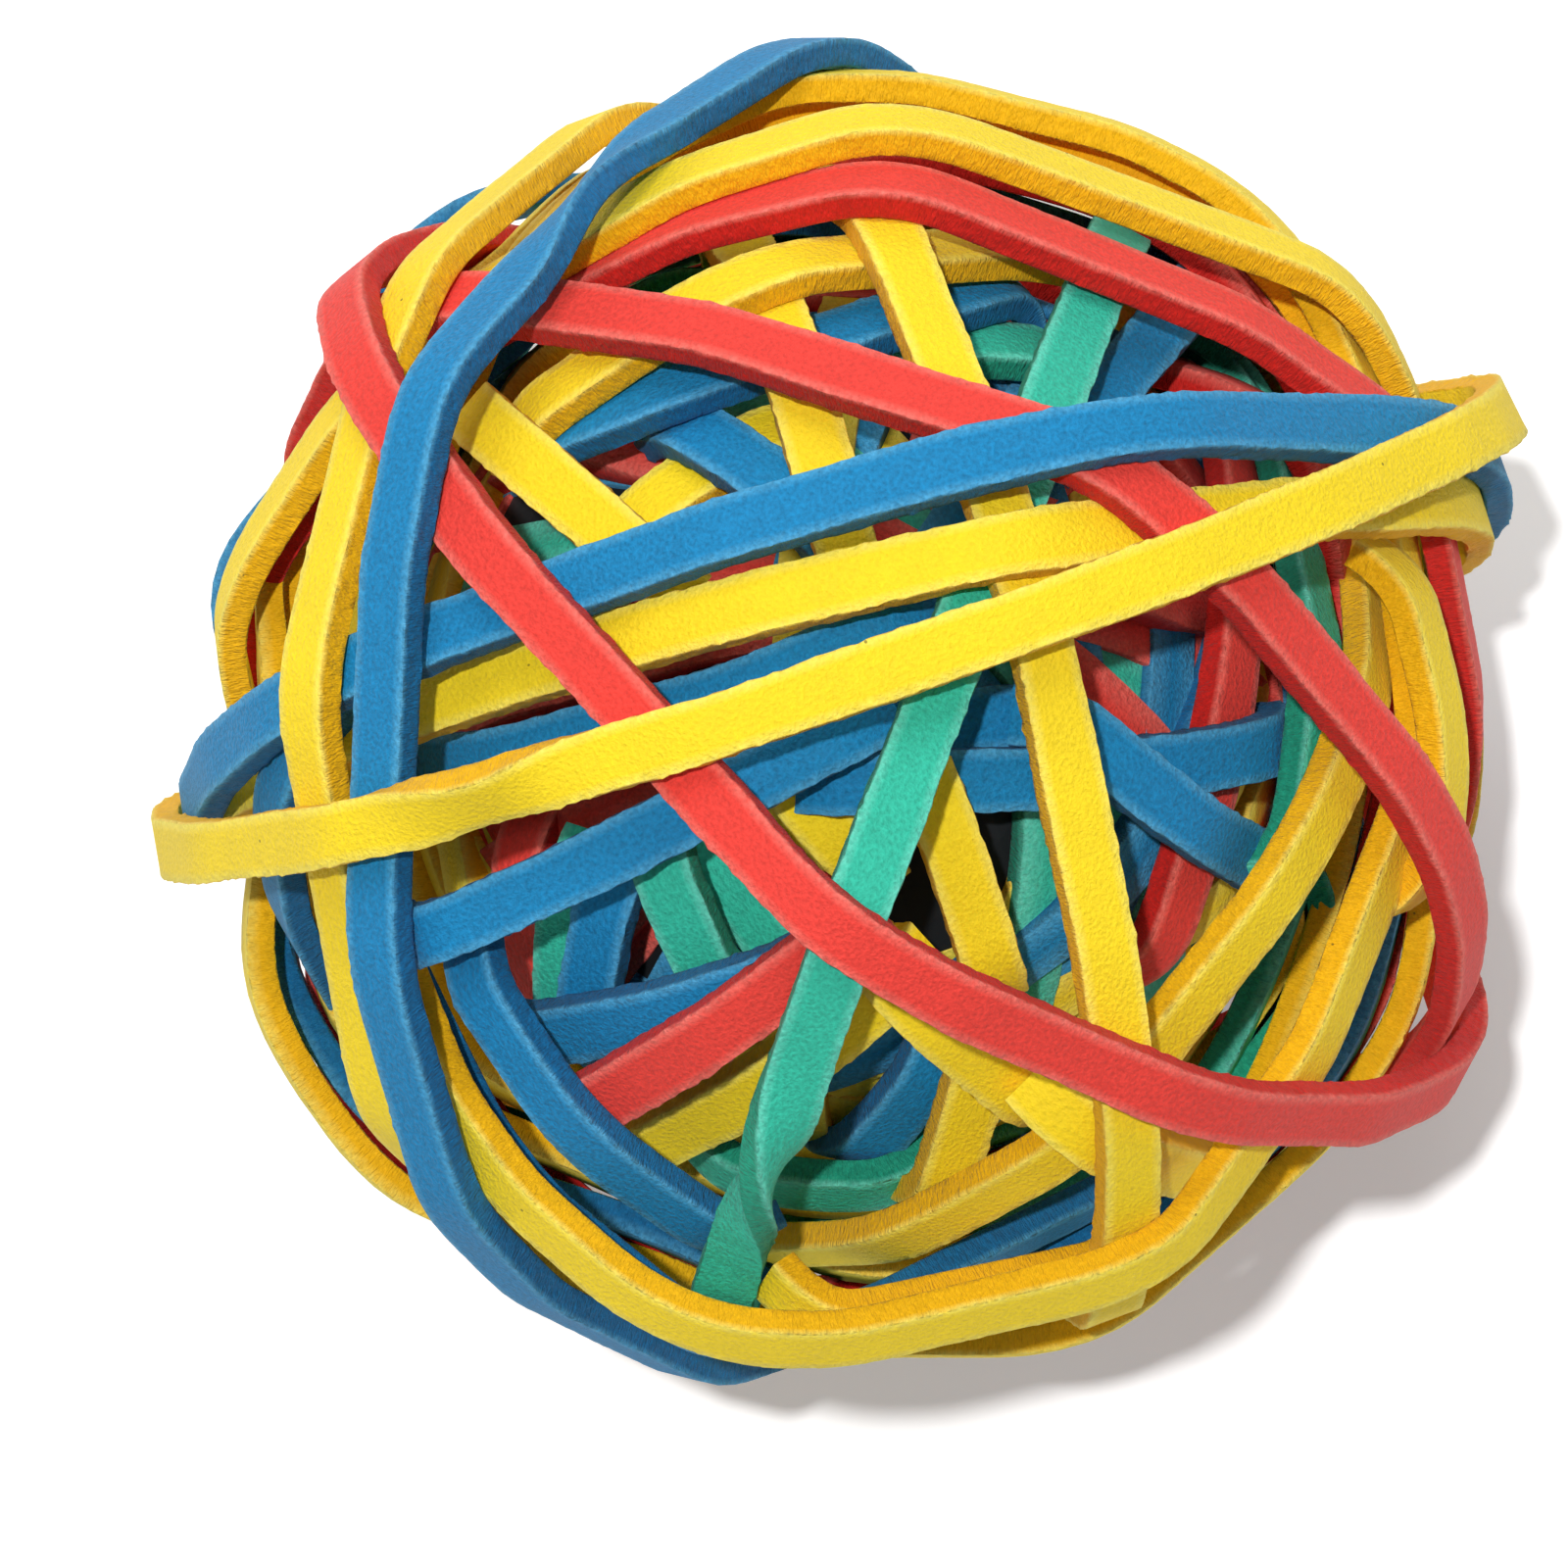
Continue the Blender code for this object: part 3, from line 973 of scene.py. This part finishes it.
class BallBuilder:
    """Makes every piece of the ball."""

    def __init__(self, nodes: dict[str, bpy.types.Object]) -> None:
        """Reads the frame.

        Args:
            nodes: The frame's nodes by name.
        """
        low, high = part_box("wound_core")
        self.centre = np.array((low + high) / 2) - CORE_OFFSET
        self.core_radius = (high.x - low.x) / 2
        self.nodes = nodes
        self.reader = PathReader(nodes, self.centre)
        self.sight = Sight(self.centre)
        self.materials = {finish.tint: RubberMaterial(finish).material for finish in FINISHES}

    def place(self, name: str, mesh: bpy.types.Mesh, tint: Tint) -> bpy.types.Object:
        """Puts a mesh on the ball.

        Args:
            name: The piece's name.
            mesh: Its mesh.
            tint: Its rubber.

        Returns:
            The piece.
        """
        mesh.materials.append(self.materials[tint])
        piece = bpy.data.objects.new(name, mesh)
        bpy.context.scene.collection.objects.link(piece)
        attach(piece, "root")
        return piece

    def band(self, node: str, seed: int) -> BandPath:
        """Re-makes one band of the frame.

        Args:
            node: The band's node.
            seed: Starts its unevenness.

        Returns:
            The band's path.
        """
        tint = Tint(f"{node.split('_')[1]}_rubber")
        path = dipped(smoothed(self.reader.read(node), SMOOTHING), self.centre)
        rolls = [roll for roll in ROLLS if roll.node == node]
        turned = roll_angles(path, rolls, self.sight)
        profile = band_profile(BAND_WIDTH, BAND_THICKNESS, SOLID_THICKNESS / 2)
        mesh = BandSweep(profile, self.centre, seed).mesh(f"{node}_skin", path, turned)
        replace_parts(self.place(f"{node}_skin", mesh, tint), node)
        return path

    def inner(self, above: list[BandPath]) -> None:
        """Fills the ball below the modelled bands.

        Args:
            above: Their paths.
        """
        winding = InnerWinding(self.centre, self.core_radius - INNER_SUNK, above)
        profile = band_profile(BAND_WIDTH, BAND_THICKNESS, BAND_THICKNESS / 2, fine=False)
        for index, (path, tint) in enumerate(winding.loops(INNER_BANDS)):
            flat = np.zeros(len(path.points))
            mesh = BandSweep(profile, self.centre, INNER_SEED + index).mesh("inner_band", path, flat)
            self.place(f"inner_band_{index + 1:02d}", mesh, tint)

    def core(self) -> None:
        """A near-black ball behind the inner bands, in place of the solid core: painted shade for
        the deep gaps between bands.
        """
        mesh = bpy.data.meshes.new("core_painted_shade")
        work = bmesh.new()
        radius = self.core_radius - CORE_SUNK
        bmesh.ops.create_icosphere(work, subdivisions=CORE_DIVISIONS, radius=radius)
        bmesh.ops.translate(work, verts=work.verts, vec=self.centre)
        work.to_mesh(mesh)
        work.free()
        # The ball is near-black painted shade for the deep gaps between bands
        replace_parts(self.place("core_painted_shade", mesh, Tint.PAINTED_SHADE), "wound_core")

    def build(self) -> None:
        """Makes all the bands."""
        bands = sorted(name for name in self.nodes if name.startswith("band_"))
        paths = [self.band(node, seed) for seed, node in enumerate(bands)]
        self.inner(paths)
        self.core()
        LOG.info("%d bands", len(bands))


@dataclass
class Studio:
    """Camera, light and floor, as in a product picture on white.

    Attributes:
        centre: The ball's centre.
    """

    centre: np.ndarray

    def camera(self) -> None:
        """A long lens straight above the ball."""
        data = bpy.data.cameras.new("camera")
        data.sensor_width = SENSOR
        data.lens = SENSOR * SIGHT_DISTANCE / PICTURE_WIDTH
        data.shift_x = -BALL_LEFT_RIGHT
        data.shift_y = -BALL_UP_DOWN
        data.clip_start, data.clip_end = NEAREST_SEEN, FARTHEST_SEEN
        camera = bpy.data.objects.new("camera", data)
        camera.location = Vector(self.centre) + Vector((0, 0, SIGHT_DISTANCE))
        bpy.context.scene.collection.objects.link(camera)
        bpy.context.scene.camera = camera

    def lamp(self, name: str, spot: tuple, size: float, power: float) -> None:
        """A soft box that looks at the ball.

        Args:
            name: The lamp's name.
            spot: Where it is, from the ball's centre, in metres.
            size: The side of its square.
            power: Its power in watts.
        """
        data = bpy.data.lights.new(name, "AREA")
        data.shape, data.size, data.energy = "SQUARE", size, power
        lamp = bpy.data.objects.new(name, data)
        lamp.location = Vector(self.centre) + Vector(spot)
        lamp.rotation_euler = (-Vector(spot)).to_track_quat("-Z", "Y").to_euler()
        bpy.context.scene.collection.objects.link(lamp)

    def sun(self, towards: tuple, angle: float, strength: float) -> None:
        """A lamp near the eye, which leaves a narrow crescent of shadow beside the ball.

        Args:
            towards: The way to the lamp.
            angle: How wide it looks, in degrees.
            strength: Its strength in watts per square metre.
        """
        data = bpy.data.lights.new("sun", "SUN")
        data.angle, data.energy = math.radians(angle), strength
        lamp = bpy.data.objects.new("sun", data)
        lamp.location = Vector(self.centre) + Vector(towards)
        lamp.rotation_euler = (-Vector(towards)).to_track_quat("-Z", "Y").to_euler()
        bpy.context.scene.collection.objects.link(lamp)

    def floor(self) -> None:
        """A white sheet under the ball, seen pure white where no shadow falls."""
        corners = ((-1, -1), (1, -1), (1, 1), (-1, 1))
        sheet = [(FLOOR_REACH * across, FLOOR_REACH * along, 0) for across, along in corners]
        mesh = bpy.data.meshes.new("floor")
        mesh.from_pydata(sheet, [], [(0, 1, 2, 3)])
        floor = bpy.data.objects.new("floor", mesh)
        floor.location.z = -FLOOR_DROP
        bpy.context.scene.collection.objects.link(floor)
        material = bpy.data.materials.new("white_sheet")
        graph = NodeGraph(material)
        paper = graph.add("ShaderNodeBsdfDiffuse", Color=PAPER)
        bright = graph.add("ShaderNodeBsdfDiffuse", Color=WHITE)
        glow = graph.add("ShaderNodeEmission", Color=WHITE, Strength=FLOOR_GLOW)
        lit = graph.add("ShaderNodeAddShader", _0=bright.outputs[0], _1=glow.outputs[0])
        seen = graph.add("ShaderNodeLightPath").outputs["Is Camera Ray"]
        both = graph.add("ShaderNodeMixShader", _0=seen, _1=paper.outputs[0], _2=lit.outputs[0])
        graph.add("ShaderNodeOutputMaterial", Surface=both.outputs[0])
        mesh.materials.append(material)

    def world(self) -> None:
        """Even white light from all round."""
        world = bpy.data.worlds.new("world")
        graph = NodeGraph(world)
        light = graph.add("ShaderNodeBackground", Color=WHITE, Strength=WORLD_LIGHT)
        white = graph.add("ShaderNodeBackground", Color=WHITE, Strength=1.0)
        seen = graph.add("ShaderNodeLightPath").outputs["Is Camera Ray"]
        both = graph.add("ShaderNodeMixShader", _0=seen, _1=light.outputs[0], _2=white.outputs[0])
        graph.add("ShaderNodeOutputWorld", Surface=both.outputs[0])
        bpy.context.scene.world = world

    def build(self) -> None:
        """Sets up the studio."""
        self.camera()
        self.world()
        self.floor()
        self.sun(SUN_TOWARDS, SUN_ANGLE, SUN_STRENGTH)
        self.lamp("window", WINDOW_SPOT, WINDOW_SIZE, WINDOW_POWER)


def main() -> None:
    """Builds the looks and finishes the frame."""
    logging.basicConfig(level=logging.INFO)
    scene = bpy.context.scene
    scene.view_settings.view_transform = "Standard"
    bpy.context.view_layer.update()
    builder = BallBuilder(frame["nodes"])
    builder.build()
    Studio(builder.centre).build()
    bpy.context.view_layer.update()


if __name__ == "__main__":
    main()
